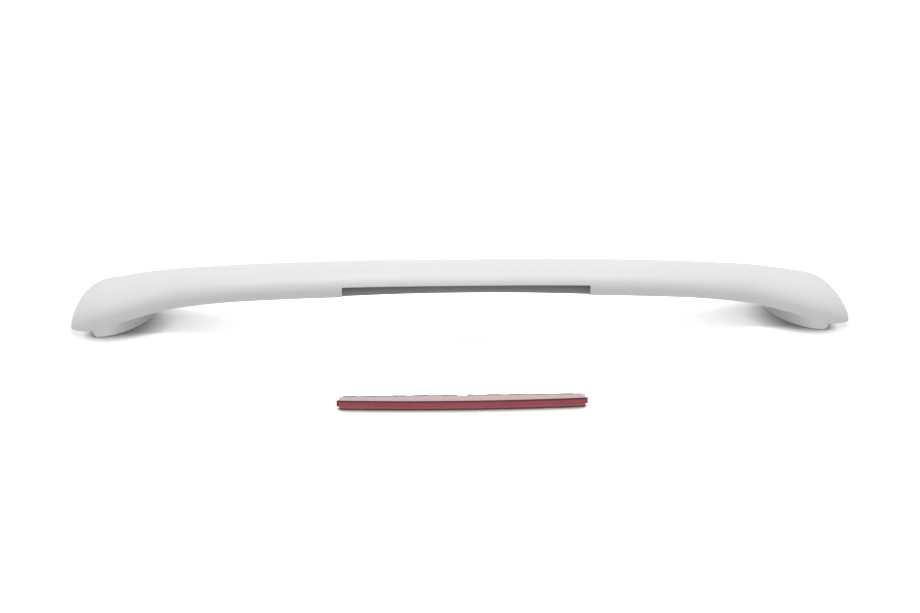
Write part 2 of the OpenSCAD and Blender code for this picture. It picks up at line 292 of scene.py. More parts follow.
def footSide(section, start, neck, rim, lift):  # from under the bar down to the floor
    top = section.point(section.lowAngle(start))[1]
    drop = min(foot["fillet"], 0.45 * top)
    low = min(foot["flareHeight"], 0.5 * (top - drop))
    curve = [(mix(start, neck, math.sin(a)), top - drop * (1 - math.cos(a)))
             for a in spread(0, math.pi / 2, 5)[1:]]
    flare = [(mix(neck, rim, k ** 1.8), mix(low, foot["rim"], k)) for k in spread(0, 1, detail["side"] - 5)]
    inward = math.copysign(min(foot["tuck"], 0.2 * abs(foot["y"] - rim)), foot["y"] - rim)
    return [(y, z + lift * (1 - z / top)) for y, z in curve + flare + [(rim + inward, 0.0)]]


def footPoints(section, x):  # where the underside stops and starts again, and the sole between
    inner, outer = foot["x"] - foot["inward"], foot["x"] + foot["outward"]
    heelY, noseY = section.free(math.pi)[0], section.free(0)[0]
    rear, ahead = footEdge(x, -foot["back"]), footEdge(x, foot["front"])
    lean = footEdge(min(x + 0.5, outer), -foot["back"]) - footEdge(max(x - 0.5, inner), -foot["back"])
    offset = max(1.2, min(foot["flare"], (rear - heelY) / 2 + 1.5)) * min(2, math.hypot(1, lean))
    neck = rear + min(offset, 0.35 * (foot["y"] - rear))
    frontNeck = ahead - min(foot["flare"], 0.35 * (ahead - foot["y"]))
    start = neck - min(foot["fillet"], max(0.2, 0.8 * (neck - heelY)))
    frontStart = min(frontNeck + foot["fillet"], noseY - 2)
    lift = foot["lift"] * ease(outer - foot["liftLength"], outer, x)
    sole = footSide(section, frontStart, frontNeck, ahead, lift) + footSide(section, start, neck, rear, lift)[::-1]
    return start, frontStart, sole


def plainPoints(section, x):  # the points close in on the foot to come
    inner = foot["x"] - foot["inward"]
    heelY, noseY = section.free(math.pi)[0], section.free(0)[0]
    near = ease(recess["length"] / 2 + 10, inner, x)
    gap = 0.12 * (noseY - heelY)
    start = mix(recess["depth"], foot["y"] - 1.5, near) if x < inner else foot["y"] - 10
    start = max(heelY + gap, min(start, noseY - 2 * gap))
    frontStart = min(start + (mix(24, 3, near) if x < inner else 20), noseY - gap / 2)
    sole = [section.point(section.lowAngle(y)) for y in spread(frontStart, start, 2 * detail["side"] + 2)[1:-1]]
    return start, frontStart, sole


def recessPoints(section):  # back wall and ceiling, with their edges rounded
    depth, edge = recess["depth"], recess["edge"]
    lipY, lipZ = section.point(section.lipAngle())
    low = section.point(section.lowAngle(depth))[1]
    under = section.point(section.lowAngle(depth + edge))
    turns = detail["corner"]
    wall = bend(under, (depth, low), (depth, low + edge), turns)
    corner = bend((depth, lipZ - edge), (depth, lipZ), (depth - edge, lipZ), turns)
    lip = bend((lipY + edge, lipZ), (lipY, lipZ), section.point(section.lipAngle(edge)), turns + 1)[:-1]
    wall += [(depth, z) for z in spread(low + edge, lipZ - edge, detail["wall"] + 2)[1:-1]]
    corner += [(y, lipZ) for y in spread(depth - edge, lipY + edge, detail["ceiling"] + 2)[1:-1]]
    return wall + corner + lip


def relaxed(path, width):  # the same path with its bends softened, its ends kept
    path = np.array(path)
    along = np.concatenate([[0], np.cumsum(np.hypot(*np.diff(path, axis=0).T))])
    step = foot["blendStep"]
    dense = np.arange(0, along[-1] + step, step)
    reach = min(int(3 * width / step), len(dense) - 1)
    weights = np.exp(-0.5 * (np.arange(-reach, reach + 1) * step / max(width, 0.05)) ** 2)
    result = []
    for axis in (0, 1):
        line = np.interp(dense, along, path[:, axis])
        padded = np.concatenate([2 * line[0] - line[reach:0:-1], line, 2 * line[-1] - line[-2:-reach - 2:-1]])
        smooth = np.convolve(padded, weights / weights.sum(), "valid")
        result.append(np.interp(along, dense, smooth))
    return list(zip(*result))


def sectionRing(x, cut=False):
    section, ax = Section(x), abs(x)
    standing = foot["x"] - foot["inward"] < ax < foot["x"] + foot["outward"]
    start, frontStart, sole = (footPoints if standing else plainPoints)(section, ax)
    lip, frontLow, rearLow = section.lipAngle(recess["edge"]), section.lowAngle(frontStart), section.lowAngle(start)
    front = section.skirtAngles(frontLow, math.pi / 2)
    ring = [section.point(a) for a in spread(lip, front[4], detail["upper"])]
    ring += [section.point(a) for a in front[3::-1] + [mix(front[0], frontLow, 0.5), frontLow]]
    ring += sole
    if cut:
        return ring + recessPoints(section)
    rear = section.skirtAngles(rearLow, lip - 2 * math.pi)
    ring += [section.point(a) for a in [rearLow, mix(rearLow, rear[0], 0.5)] + rear[:4]]
    ring += [section.point(a) for a in spread(rear[4], lip - 2 * math.pi, detail["rear"] + 2)[:-1]]
    if standing:
        width = foot["blend"] * ease(0, foot["blendIn"], ax - foot["x"] + foot["inward"])
        width *= ease(0, foot["blendOut"], foot["x"] + foot["outward"] - ax)
        rims = detail["upper"] + 6 + detail["side"]  # the sole lies between rims - 1 and rims
        ring[rims + 1:] = relaxed(ring[rims + 1:] + ring[:1], width)[:-1]
        high = detail["upper"] - foot["blendFrom"]
        ring[high:rims - 1] = relaxed(ring[high:rims - 1], width)
    return ring


def stationList():
    end = recess["length"] / 2
    inner, outer = foot["x"] - foot["inward"], foot["x"] + foot["outward"]
    xs = [(x, True) for x in spread(0, end, int(end / detail["step"]) + 1)]
    xs += [(x, False) for x in spread(end, inner - 0.3, int((inner - end) / detail["step"]) + 1)]
    xs += [(inner + 0.15 + (outer - inner - 0.3) * (1 - math.cos(math.pi * k)) / 2, False)
           for k in spread(0, 1, detail["foot"])]
    xs += [(mix(outer + 0.15, bar["half"], math.sin(math.pi / 2 * k)), False) for k in spread(0, 1, detail["tip"])]
    return [(-x, cut) for x, cut in xs[:0:-1]] + xs


def meshFrom(name, points, faces, material, place=(0, 0, 0)):
    data = bpy.data.meshes.new(name)
    data.from_pydata([[(p[i] + place[i]) * mm for i in range(3)] for p in points], [], faces)
    data.materials.append(material)
    piece = bpy.data.objects.new(name, data)
    bpy.context.scene.collection.objects.link(piece)
    return piece


def skinFaces(rings):  # the last ring and the first close the ends
    n = len(rings[0])
    faces = [(j * n + i, j * n + (i + 1) % n, (j + 1) * n + (i + 1) % n, (j + 1) * n + i)
             for j in range(len(rings) - 1) for i in range(n)]
    return faces + [tuple(range(n))[::-1], tuple((len(rings) - 1) * n + i for i in range(n))]


def tidyMesh(piece, merge=1e-6, angle=35):
    edit = bmesh.new()
    edit.from_mesh(piece.data)
    bmesh.ops.remove_doubles(edit, verts=edit.verts, dist=merge)
    bmesh.ops.recalc_face_normals(edit, faces=edit.faces)
    for face in edit.faces:
        face.smooth = True
    for edge in edit.edges:
        edge.smooth = len(edge.link_faces) == 2 and edge.calc_face_angle(0) < math.radians(angle)
    edit.to_mesh(piece.data)
    edit.free()
    return piece


def applied(piece):  # the piece's modifiers go into its mesh
    data = bpy.data.meshes.new_from_object(piece.evaluated_get(bpy.context.evaluated_depsgraph_get()))
    piece.modifiers.clear()
    piece.data = data
    return piece


def lathe(profile, sides, wave=None):  # (radius, height) pairs turned round Z, as points and faces
    points, n = [], len(profile)
    for k in range(sides):
        turn = 2 * math.pi * k / sides
        for i, (r, z) in enumerate(profile):
            r = max(0.0, r + (wave(i, k) if wave else 0))
            points.append((r * math.cos(turn), r * math.sin(turn), z))
    faces = [(k * n + i, (k + 1) % sides * n + i, (k + 1) % sides * n + i + 1, k * n + i + 1)
             for k in range(sides) for i in range(n - 1)]
    return points, faces


def finish(piece, replaced):
    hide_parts(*replaced)
    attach(piece, "root")
    print(piece.name, len(piece.data.polygons), "faces")


primer = skinMaterial("satinPrimer", (0.81, 0.81, 0.795), (0.795, 0.795, 0.78), 0.42, drift=5.0,
                      grain=900.0, bump=0.12, depth=0.00015)


def makePaintedRecessShade():  # the recess's inside is a darker grey with painted shade, darkest under its lip and lighter towards its floor
    material = skinMaterial("recessPaintedShade", (0.42, 0.42, 0.41), (0.38, 0.38, 0.37), 0.55, drift=9.0, grain=900.0,
                            bump=0.12, depth=0.00015)
    tree = material.node_tree
    shader = tree.nodes["Principled BSDF"]
    axes = addNode(tree, "ShaderNodeSeparateXYZ", {0: addNode(tree, "ShaderNodeTexCoord").outputs["Object"]})
    side = addNode(tree, "ShaderNodeMath", {0: axes.outputs["X"]}, operation="ABSOLUTE")
    t = addNode(tree, "ShaderNodeMath", {0: side.outputs[0], 1: bar["half"] * mm}, operation="DIVIDE")
    fall = addNode(tree, "ShaderNodeMath", {0: t.outputs[0], 1: bar["archCurve"]}, operation="POWER")
    level = addNode(tree, "ShaderNodeMath", {0: fall.outputs[0], 1: bar["arch"] * mm, 2: axes.outputs["Z"]},
                    operation="MULTIPLY_ADD")
    ceiling = (bar["top"] - bar["thick"] + recess["height"]) * mm
    # painted shade: darkest at the ceiling under the lip, fading out towards the recess's floor
    outOfShade = addNode(tree, "ShaderNodeMapRange", {"Value": level.outputs[0], "From Min": ceiling,
                                                   "From Max": ceiling - recess["height"] * mm})
    tone = addNode(tree, "ShaderNodeMix", {"Factor": outOfShade.outputs[0]}, data_type="RGBA")
    tone.inputs[6].default_value = (*[recess["paintedShade"]] * 3, 1)
    link(tree, shader.inputs["Base Color"].links[0].from_socket, tone.inputs[7])
    link(tree, tone.outputs[2], shader.inputs["Base Color"])
    return material


recessPaintedShade = makePaintedRecessShade()


def buildSpoiler():
    rings = [[(x, y - bar["backToOrigin"], z) for y, z in sectionRing(x, cut)] for x, cut in stationList()]
    piece = meshFrom("spoilerMoulding", [p for ring in rings for p in ring], skinFaces(rings), primer)
    # the second material is the recess's painted shade
    piece.data.materials.append(recessPaintedShade)
    turns = detail["corner"]
    n, inside = len(rings[0]), detail["wall"] + detail["ceiling"] + 3 * turns  # the last points of a ring
    cuts = [cut for _, cut in stationList()]
    # the recess's wall and ceiling faces take the painted recess shade
    for j, (here, there) in enumerate(zip(cuts, cuts[1:])):
        if here and there:
            for i in range(n - inside, n - turns):
                piece.data.polygons[j * n + i].material_index = 1
    tidyMesh(piece)
    lip = barLines(0)["under"] + recess["height"]
    bores = [(holes["wire"], (0, recess["depth"] - bar["backToOrigin"] - 1, lip - holes["belowLip"]),
              holes["wireDeep"] + 1, True)]
    bores += [(holes["insert"], (side * holes["insertX"], row * holes["insertY"], -1), holes["insertDeep"] + 1, False)
              for side in (-1, 1) for row in (-1, 1)]
    for wide, place, deep, level in bores:
        points, faces = lathe([(0, 0), (wide / 2, 0), (wide / 2, deep), (0, deep)], holes["sides"])
        if level:
            points = [(x, z, -y) for x, y, z in points]
        tool = tidyMesh(meshFrom("bore", points, faces, primer, place))
        cut = piece.modifiers.new("bore", "BOOLEAN")
        cut.operation, cut.solver, cut.object = "DIFFERENCE", "EXACT", tool
        applied(piece)
        bpy.data.objects.remove(tool)
    tidyMesh(piece)
    finish(piece, ["spoiler_body"])


buildSpoiler()

# Repeats: a piece set out in rows, each row bowed back towards its ends
def makeRowTree():
    tree = bpy.data.node_groups.new("setInRows", "GeometryNodeTree")
    for name, kind in (("Geometry", "NodeSocketGeometry"), ("Piece", "NodeSocketObject"), ("Count", "NodeSocketInt"),
                       ("Pitch", "NodeSocketFloat"), ("Rows", "NodeSocketInt"), ("Row Pitch", "NodeSocketFloat"),
                       ("Bow", "NodeSocketFloat"), ("Bow Length", "NodeSocketFloat"),
                       ("Material", "NodeSocketMaterial")):
        tree.interface.new_socket(name, in_out="INPUT", socket_type=kind)
    tree.interface.new_socket("Geometry", in_out="OUTPUT", socket_type="NodeSocketGeometry")
    given = addNode(tree, "NodeGroupInput").outputs
    out = addNode(tree, "NodeGroupOutput")

    def line(count, pitch, axis):
        less = addNode(tree, "ShaderNodeMath", {0: given[count], 1: 1.0}, operation="SUBTRACT")
        span = addNode(tree, "ShaderNodeMath", {0: less.outputs[0], 1: given[pitch]}, operation="MULTIPLY")
        start = addNode(tree, "ShaderNodeMath", {0: span.outputs[0], 1: -0.5}, operation="MULTIPLY")
        first = addNode(tree, "ShaderNodeCombineXYZ", {axis: start.outputs[0]})
        step = addNode(tree, "ShaderNodeCombineXYZ", {axis: given[pitch]})
        return addNode(tree, "GeometryNodeMeshLine", {"Count": given[count], "Start Location": first.outputs[0],
                                                      "Offset": step.outputs[0]}).outputs["Mesh"]

    piece = addNode(tree, "GeometryNodeObjectInfo", {"Object": given["Piece"]}).outputs["Geometry"]
    row = addNode(tree, "GeometryNodeInstanceOnPoints", {"Points": line("Count", "Pitch", "X"), "Instance": piece})
    rows = addNode(tree, "GeometryNodeInstanceOnPoints", {"Points": line("Rows", "Row Pitch", "Y"),
                                                          "Instance": row.outputs["Instances"]})
    real = addNode(tree, "GeometryNodeRealizeInstances", {"Geometry": rows.outputs["Instances"]})
    place = addNode(tree, "ShaderNodeSeparateXYZ", {0: addNode(tree, "GeometryNodeInputPosition").outputs[0]})
    part = addNode(tree, "ShaderNodeMath", {0: place.outputs["X"], 1: given["Bow Length"]}, operation="DIVIDE")
    twice = addNode(tree, "ShaderNodeMath", {0: part.outputs[0], 1: 2.0}, operation="MULTIPLY")
    square = addNode(tree, "ShaderNodeMath", {0: twice.outputs[0], 1: 2.0}, operation="POWER")
    back = addNode(tree, "ShaderNodeMath", {0: square.outputs[0], 1: given["Bow"]}, operation="MULTIPLY")
    offset = addNode(tree, "ShaderNodeCombineXYZ", {"Y": back.outputs[0]})
    bent = addNode(tree, "GeometryNodeSetPosition", {"Geometry": real.outputs[0], "Offset": offset.outputs[0]})
    done = addNode(tree, "GeometryNodeSetMaterial", {"Geometry": bent.outputs[0], "Material": given["Material"]})
    link(tree, done.outputs[0], out.inputs[0])
    return tree


rowTree = makeRowTree()


def runTree(name, tree, material, place, values):
    data = bpy.data.meshes.new(name)
    piece = bpy.data.objects.new(name, data)
    bpy.context.scene.collection.objects.link(piece)
    modifier = piece.modifiers.new(name, "NODES")
    modifier.node_group = tree
    sockets = {item.name: item.identifier for item in tree.interface.items_tree if item.in_out == "INPUT"}
    for key, value in values.items():
        modifier[sockets[key]] = value
    modifier[sockets["Material"]] = material
    applied(piece)
    piece.data.transform(Matrix.Translation(Vector(place) * mm))
    return piece


def setInRows(name, points, faces, material, place, count, pitch, rows=1, rowPitch=0.0, bow=0.0, bowLength=1.0):
    one = tidyMesh(meshFrom(name + "One", points, faces, material))
    piece = runTree(name, rowTree, material, place, {
        "Piece": one, "Count": count, "Pitch": pitch * mm, "Rows": rows, "Row Pitch": rowPitch * mm,
        "Bow": bow * mm, "Bow Length": bowLength * mm})
    bpy.data.objects.remove(one)
    return piece


def joined(name, pieces):  # several meshes as one
    edit = bmesh.new()
    materials = []
    for piece in pieces:
        piece.data.name = name
        start = len(edit.faces)
        edit.from_mesh(piece.data)
        edit.faces.ensure_lookup_table()
        for face in edit.faces[start:]:
            face.material_index = len(materials)
        materials.append(piece.data.materials[0])
    data = bpy.data.meshes.new(name)
    edit.to_mesh(data)
    edit.free()
    for material in materials:
        data.materials.append(material)
    for piece in pieces:
        bpy.data.objects.remove(piece)
    whole = bpy.data.objects.new(name, data)
    bpy.context.scene.collection.objects.link(whole)
    return whole


# Threaded inserts in the feet: knurled outside, so that the moulding grips them
insert = {"wide": 10, "long": 16, "bore": 5.96, "boreDeep": 15, "mouth": 0.35, "knurl": 0.22, "teeth": 24,
          "ringHigh": 0.3, "waist": (5.2, 5.6, 7.4, 7.8), "waistDeep": 1,  # a smooth waist between two knurled bands
          "threadPitch": 1.0, "threadDeep": 0.5, "threadFrom": 0.9, "threadTo": 13, "threadSteps": 30}

brass = skinMaterial("turnedBrass", (0.62, 0.43, 0.16), (0.5, 0.33, 0.11), 0.3, drift=180.0, grain=2600.0,
                     spread=0.2, bump=0.2, depth=0.00008, Metallic=1.0)


def makeThreadTree():
    tree = bpy.data.node_groups.new("boreThread", "GeometryNodeTree")
    for name, kind in (("Geometry", "NodeSocketGeometry"), ("Bore", "NodeSocketFloat"), ("Depth", "NodeSocketFloat"),
                       ("Turns", "NodeSocketFloat"), ("Height", "NodeSocketFloat"), ("Material", "NodeSocketMaterial")):
        tree.interface.new_socket(name, in_out="INPUT", socket_type=kind)
    tree.interface.new_socket("Geometry", in_out="OUTPUT", socket_type="NodeSocketGeometry")
    given = addNode(tree, "NodeGroupInput").outputs
    radius = addNode(tree, "ShaderNodeMath", {0: given["Bore"], 1: 0.5}, operation="MULTIPLY").outputs[0]
    helix = addNode(tree, "GeometryNodeCurveSpiral", {
        "Resolution": insert["threadSteps"], "Rotations": given["Turns"], "Start Radius": radius, "End Radius": radius,
        "Height": given["Height"]})
    ridge = addNode(tree, "GeometryNodeCurvePrimitiveCircle", {"Resolution": 4, "Radius": given["Depth"]})
    thread = addNode(tree, "GeometryNodeCurveToMesh", {"Curve": helix.outputs[0], "Profile Curve": ridge.outputs[0],
                                                       "Fill Caps": True})
    real = addNode(tree, "GeometryNodeRealizeInstances", {"Geometry": thread.outputs[0]})
    done = addNode(tree, "GeometryNodeSetMaterial", {"Geometry": real.outputs[0], "Material": given["Material"]})
    link(tree, done.outputs[0], addNode(tree, "NodeGroupOutput").inputs[0])
    return tree


def buildInserts():
    r, b, m, k = insert["wide"] / 2, insert["bore"] / 2, insert["mouth"], insert["knurl"]
    edge, waist = insert["ringHigh"], r - insert["waistDeep"]
    first, second, third, fourth = insert["waist"]
    profile = [(0, insert["boreDeep"]), (b, insert["boreDeep"]), (b, m), (b + m, 0), (r - 2 * k, 0),
               (r - k / 2, edge), (r - k / 2, first), (waist, second), (waist, third), (r - k / 2, fourth),
               (r - k / 2, insert["long"] - edge), (r - 2 * k, insert["long"]), (0, insert["long"])]
    ribbed = {5, 6, 9, 10}  # the profile's points that carry the knurl
    sides = insert["teeth"] * 4
    points, faces = lathe(profile, sides, lambda i, side: k / 2 * math.cos(math.pi * side / 2) if i in ribbed else 0)
    bodies = setInRows("insertBodies", points, faces, brass, (0, 0, 0), 2, 2 * holes["insertX"],
                       2, 2 * holes["insertY"])
    tree = makeThreadTree()
    high = insert["threadTo"] - insert["threadFrom"]
    one = runTree("threadOne", tree, brass, (0, 0, insert["threadFrom"]), {
        "Bore": insert["bore"] * mm, "Depth": insert["threadDeep"] * mm, "Turns": high / insert["threadPitch"],
        "Height": high * mm})
    threads = runTree("threads", rowTree, brass, (0, 0, 0), {
        "Piece": one, "Count": 2, "Pitch": 2 * holes["insertX"] * mm, "Rows": 2, "Row Pitch": 2 * holes["insertY"] * mm,
        "Bow": 0.0, "Bow Length": 1.0})
    bpy.data.objects.remove(one)
    piece = joined("footInserts", [bodies, threads])
    finish(piece, ["foot_insert_left_rear", "foot_insert_left_front", "foot_insert_right_rear",
                   "foot_insert_right_front"])


buildInserts()

# The lamp lies behind the spoiler; its own frame has the lens's face at y = 0 and the lower edge at z = 0
lamp = {
    "place": (-16, -314, 0), "long": 354, "high": 15.5, "lensBack": 9, "bow": 5,
    "wall": 1.8, "round": 1.0, "flutes": 84, "fluteDeep": 0.55, "fluteTone": 0.12,
    "play": 0.2, "lip": 1, "boardY": 9.75, "board": 1.6,
}
led = {"count": 16, "side": 5, "high": 1.4, "dome": 1.9, "sides": 20,
       "profile": ((0.8, 0), (0.76, 0.3), (0.6, 0.62), (0.34, 0.86), (0, 1))}  # the dome, as shares of side and dome
resistor = {"long": 3.2, "wide": 1.6, "high": 0.58, "cap": 0.65, "bodyLong": 2.0, "bodyWide": 1.52, "bodyHigh": 0.6}


# On the lens, these bands are painted highlights and painted shade
def banded(name, base, roughness, bands, flute=None, **sockets):  # bands of colour across the lamp, edges uneven
    material = skinMaterial(name, base[0], base[1], roughness, **sockets)
    tree = material.node_tree
    shader = tree.nodes["Principled BSDF"]
    place = addNode(tree, "ShaderNodeTexCoord").outputs["Object"]
    axes = addNode(tree, "ShaderNodeSeparateXYZ", {0: place})
    wobble = addNode(tree, "ShaderNodeTexNoise", {"Vector": place, "Scale": 60.0, "Detail": 3.0})
    out = shader.inputs["Base Color"].links[0].from_socket
    if flute:  # the flutes behind the face show through it as faint upright lines
        turn = addNode(tree, "ShaderNodeMath", {0: axes.outputs["X"], 1: 2 * math.pi / (flute * mm)},
                       operation="MULTIPLY")
        wave = addNode(tree, "ShaderNodeMath", {0: turn.outputs[0]}, operation="COSINE")
        dark = addNode(tree, "ShaderNodeMapRange", {"Value": wave.outputs[0], "From Min": -1.0, "From Max": 1.0,
                                                    "To Max": lamp["fluteTone"]})
        blend = addNode(tree, "ShaderNodeMix", {"Factor": dark.outputs[0]}, data_type="RGBA")
        link(tree, out, blend.inputs[6])
        blend.inputs[7].default_value = (*[c * 0.55 for c in base[1]], 1)
        out = blend.outputs[2]
    for axis, start, end, soft, uneven, colour in bands:
        jitter = addNode(tree, "ShaderNodeMath", {0: wobble.outputs["Fac"], 1: 0.5}, operation="SUBTRACT")
        value = addNode(tree, "ShaderNodeMath", {0: jitter.outputs[0], 1: uneven * mm, 2: axes.outputs[axis]},
                        operation="MULTIPLY_ADD").outputs[0]
        rise = addNode(tree, "ShaderNodeMapRange", {"Value": value, "From Min": (start - soft) * mm,
                                                    "From Max": (start + soft) * mm})
        fall = addNode(tree, "ShaderNodeMapRange", {"Value": value, "From Min": (end - soft) * mm,
                                                    "From Max": (end + soft) * mm, "To Min": 1.0, "To Max": 0.0})
        mask = addNode(tree, "ShaderNodeMath", {0: rise.outputs[0], 1: fall.outputs[0]}, operation="MULTIPLY")
        blend = addNode(tree, "ShaderNodeMix", {"Factor": mask.outputs[0]}, data_type="RGBA")
        link(tree, out, blend.inputs[6])
        blend.inputs[7].default_value = (*colour, 1)
        out = blend.outputs[2]
    link(tree, out, shader.inputs["Base Color"])
    return material


# The lens's red carries painted light in bands: a painted highlight line low on the face, painted shade over the face's
# upper part and along its top and bottom edges, and a painted highlight on its top
lensRed = banded("redLens", ((0.5, 0.07, 0.1), (0.42, 0.055, 0.08)), 0.16, [
    # painted highlight line across the lower face
    ("Z", 3.8, 5.2, 0.5, 0.6, (0.5, 0.13, 0.16)),
    # painted shade over the face's upper part
    ("Z", 12.2, 16.0, 0.9, 0.5, (0.18, 0.018, 0.032)),
    # painted dark shade line under the top edge
    ("Z", 14.2, 15.2, 0.3, 0.2, (0.08, 0.008, 0.012)),
    # painted shade along the bottom edge
    ("Z", -1.0, 2.4, 0.7, 0.8, (0.11, 0.014, 0.022)),
    # painted highlight on the lens's top
    ("Z", 15.35, 17.0, 0.1, 0.0, (0.66, 0.44, 0.45)),
], flute=(lamp["long"] - 2 * lamp["wall"]) / lamp["flutes"], drift=40.0, grain=700.0, bump=0.06, depth=0.0001)
housingGrey = banded("paleHousing", ((0.6, 0.52, 0.52), (0.55, 0.47, 0.47)), 0.5, [
    ("X", -250, -192.5, 0.8, 0.5, (0.22, 0.06, 0.06)),
    ("X", 160.5, 250, 0.8, 0.5, (0.27, 0.17, 0.18)),
], drift=30.0, grain=1100.0, bump=0.15, depth=0.00015)


def lensRing(x, hollow, inset=0.0):
    half = lamp["long"] / 2
    face = lamp["bow"] * (x / half) ** 2
    h, r, w, back = lamp["high"], lamp["round"], lamp["wall"], lamp["lensBack"]
    front = face + inset
    outer = [(back, inset)] + bend((front + r, inset), (front, inset), (front, inset + r), 5)
    outer += [(front, z) for z in spread(inset + r, h - inset - r, 12)[1:-1]]
    outer += bend((front, h - inset - r), (front, h - inset), (front + r, h - inset), 5) + [(back, h - inset)]
    inner = [(back, z) for z in spread(h - w, w, 16)]
    if hollow:
        inner = [(back, h - w)] + bend((face + w + 0.5, h - w), (face + w, h - w), (face + w, h - w - 0.5), 3)
        inner += [(face + w, z) for z in spread(h - w - 0.5, w + 0.5, 10)[1:-1]]
        inner += bend((face + w, w + 0.5), (face + w, w), (face + w + 0.5, w), 3) + [(back, w)]
    return [(x, y, z) for y, z in outer + inner]


def buildLens():
    half, w, r = lamp["long"] / 2, lamp["wall"], lamp["round"]
    ends = [(half - r * (1 - math.sin(a)), False, r * (1 - math.cos(a)) * 0.9) for a in spread(0, math.pi / 2, 5)]
    xs = [(x, True, 0.0) for x in spread(0, half - w, 40)] + [(half - w, False, 0.0)] + ends
    xs = sorted({(x, hollow, inset) for x, hollow, inset in xs}, key=lambda e: (e[0], not e[1]))
    xs = [(-x, hollow, inset) for x, hollow, inset in xs[:0:-1]] + xs
    rings = [lensRing(*station) for station in xs]
    points = [p for ring in rings for p in ring]
    shell = tidyMesh(meshFrom("lensShell", points, skinFaces(rings), lensRed, lamp["place"]))
    # flutes on the inside of the face, which spread the light
    wide = (lamp["long"] - 2 * w) / lamp["flutes"]
    low, high, deep = w + 0.6, lamp["high"] - w - 0.6, lamp["fluteDeep"]
    arc = [(wide * (k / 6 - 0.5), w - 0.2 + (0.2 + deep) * math.sin(math.pi * k / 6)) for k in range(7)]
    points = [(x, y, z) for z in (low, high) for x, y in arc]
    faces = [(i, i + 1, i + 8, i + 7) for i in range(6)]
    faces += [(6, 0, 7, 13), tuple(range(6, -1, -1)), tuple(range(7, 14))]
    flutes = setInRows("lensFlutes", points, faces, lensRed, lamp["place"], lamp["flutes"] - 1, wide,
                       bow=lamp["bow"], bowLength=lamp["long"])
    finish(joined("lampLens", [shell, flutes]), ["lamp_lens"])


buildLens()


def softened(name, node, material, width, least, angle=40):  # a copy of the node with its long edges rounded
    piece = bpy.data.objects.new(name, nodes[node].data.copy())
    bpy.context.scene.collection.objects.link(piece)
    piece.data.materials.clear()
    piece.data.materials.append(material)
    edit = bmesh.new()
    edit.from_mesh(piece.data)
    bmesh.ops.remove_doubles(edit, verts=edit.verts, dist=1e-6)
    edges = [e for e in edit.edges if len(e.link_faces) == 2 and e.calc_length() > least * mm
             and e.calc_face_angle(0) > math.radians(angle)]
    bmesh.ops.bevel(edit, geom=edges, offset=width * mm, segments=2, profile=0.5, affect="EDGES", clamp_overlap=False)
    for face in edit.faces:
        face.material_index = 0
    edit.to_mesh(piece.data)
    edit.free()
    return tidyMesh(piece)


finish(softened("lampHousing", "lamp_housing", housingGrey, 0.35, 2.0), ["lamp_housing"])

# Board, LEDs and resistors, inside the lamp
boardGreen = skinMaterial("boardGreen", (0.03, 0.16, 0.07), (0.02, 0.12, 0.05), 0.35, drift=300.0, grain=3000.0)
ledYellow = skinMaterial("ledPackage", (0.78, 0.7, 0.36), (0.8, 0.75, 0.5), 0.3, drift=250.0, grain=2500.0)
resistorBlack = skinMaterial("resistorBody", (0.02, 0.02, 0.022), (0.03, 0.03, 0.03), 0.4, drift=300.0, grain=3000.0)
rubber = skinMaterial("blackRubber", (0.03, 0.03, 0.032), (0.045, 0.045, 0.045), 0.65, drift=200.0, grain=2200.0,
                      bump=0.3)
foam = skinMaterial("paleFoam", (0.5, 0.46, 0.44), (0.42, 0.38, 0.36), 0.9, drift=220.0, grain=1600.0, bump=0.8,
                    depth=0.0004)


def boxPoints(low, high):
    return [(x, y, z) for x in (low[0], high[0]) for y in (low[1], high[1]) for z in (low[2], high[2])]


boxFaces = [(0, 1, 3, 2), (4, 6, 7, 5), (0, 4, 5, 1), (2, 3, 7, 6), (0, 2, 6, 4), (1, 5, 7, 3)]


def buildElectrics():
    x, y, z = lamp["place"]
    middle = (x, y, z + lamp["high"] / 2)
    length = lamp["long"] - 2 * (lamp["wall"] + lamp["lip"] + 2 * lamp["play"])
    pitch = length / led["count"]
    s, top = led["side"] / 2, lamp["boardY"]
    points, faces = lathe([(s * wide, led["dome"] * high) for wide, high in led["profile"]], led["sides"])
    dome = [(px, top - led["high"] - pz + 0.01, py) for px, py, pz in points]  # it starts just inside the body
    body = boxPoints((-s, top - led["high"], -s), (s, top, s))
    points, faces = body + dome, boxFaces + [tuple(i + 8 for i in face) for face in faces]
    lights = setInRows("lampLeds", points, faces, ledYellow, middle, led["count"], pitch)
    finish(lights, ["lamp_leds"])
    back = top + lamp["board"]
    end, half, high = resistor["long"] / 2, resistor["wide"] / 2, back + resistor["high"]
    capped = end - resistor["cap"]
    points = boxPoints((-end, back, -half), (-capped, high, half)) + boxPoints((capped, back, -half), (end, high, half))
    end, half, high = resistor["bodyLong"] / 2, resistor["bodyWide"] / 2, back + resistor["bodyHigh"]
    points += boxPoints((-end, back, -half), (end, high, half))
    faces = [tuple(i + 8 * k for i in face) for k in range(3) for face in boxFaces]
    resistors = setInRows("lampResistors", points, faces, resistorBlack, (x - pitch / 2, y, middle[2]),
                          led["count"] // 2, 2 * pitch)
    finish(resistors, ["lamp_resistors"])


buildElectrics()

for node, material in (("lamp_board", boardGreen), ("lamp_grommet", rubber), ("lamp_tape", foam)):
    for slot in nodes[node].material_slots:
        slot.material = material
print("lamp's board, grommet and tape finished")

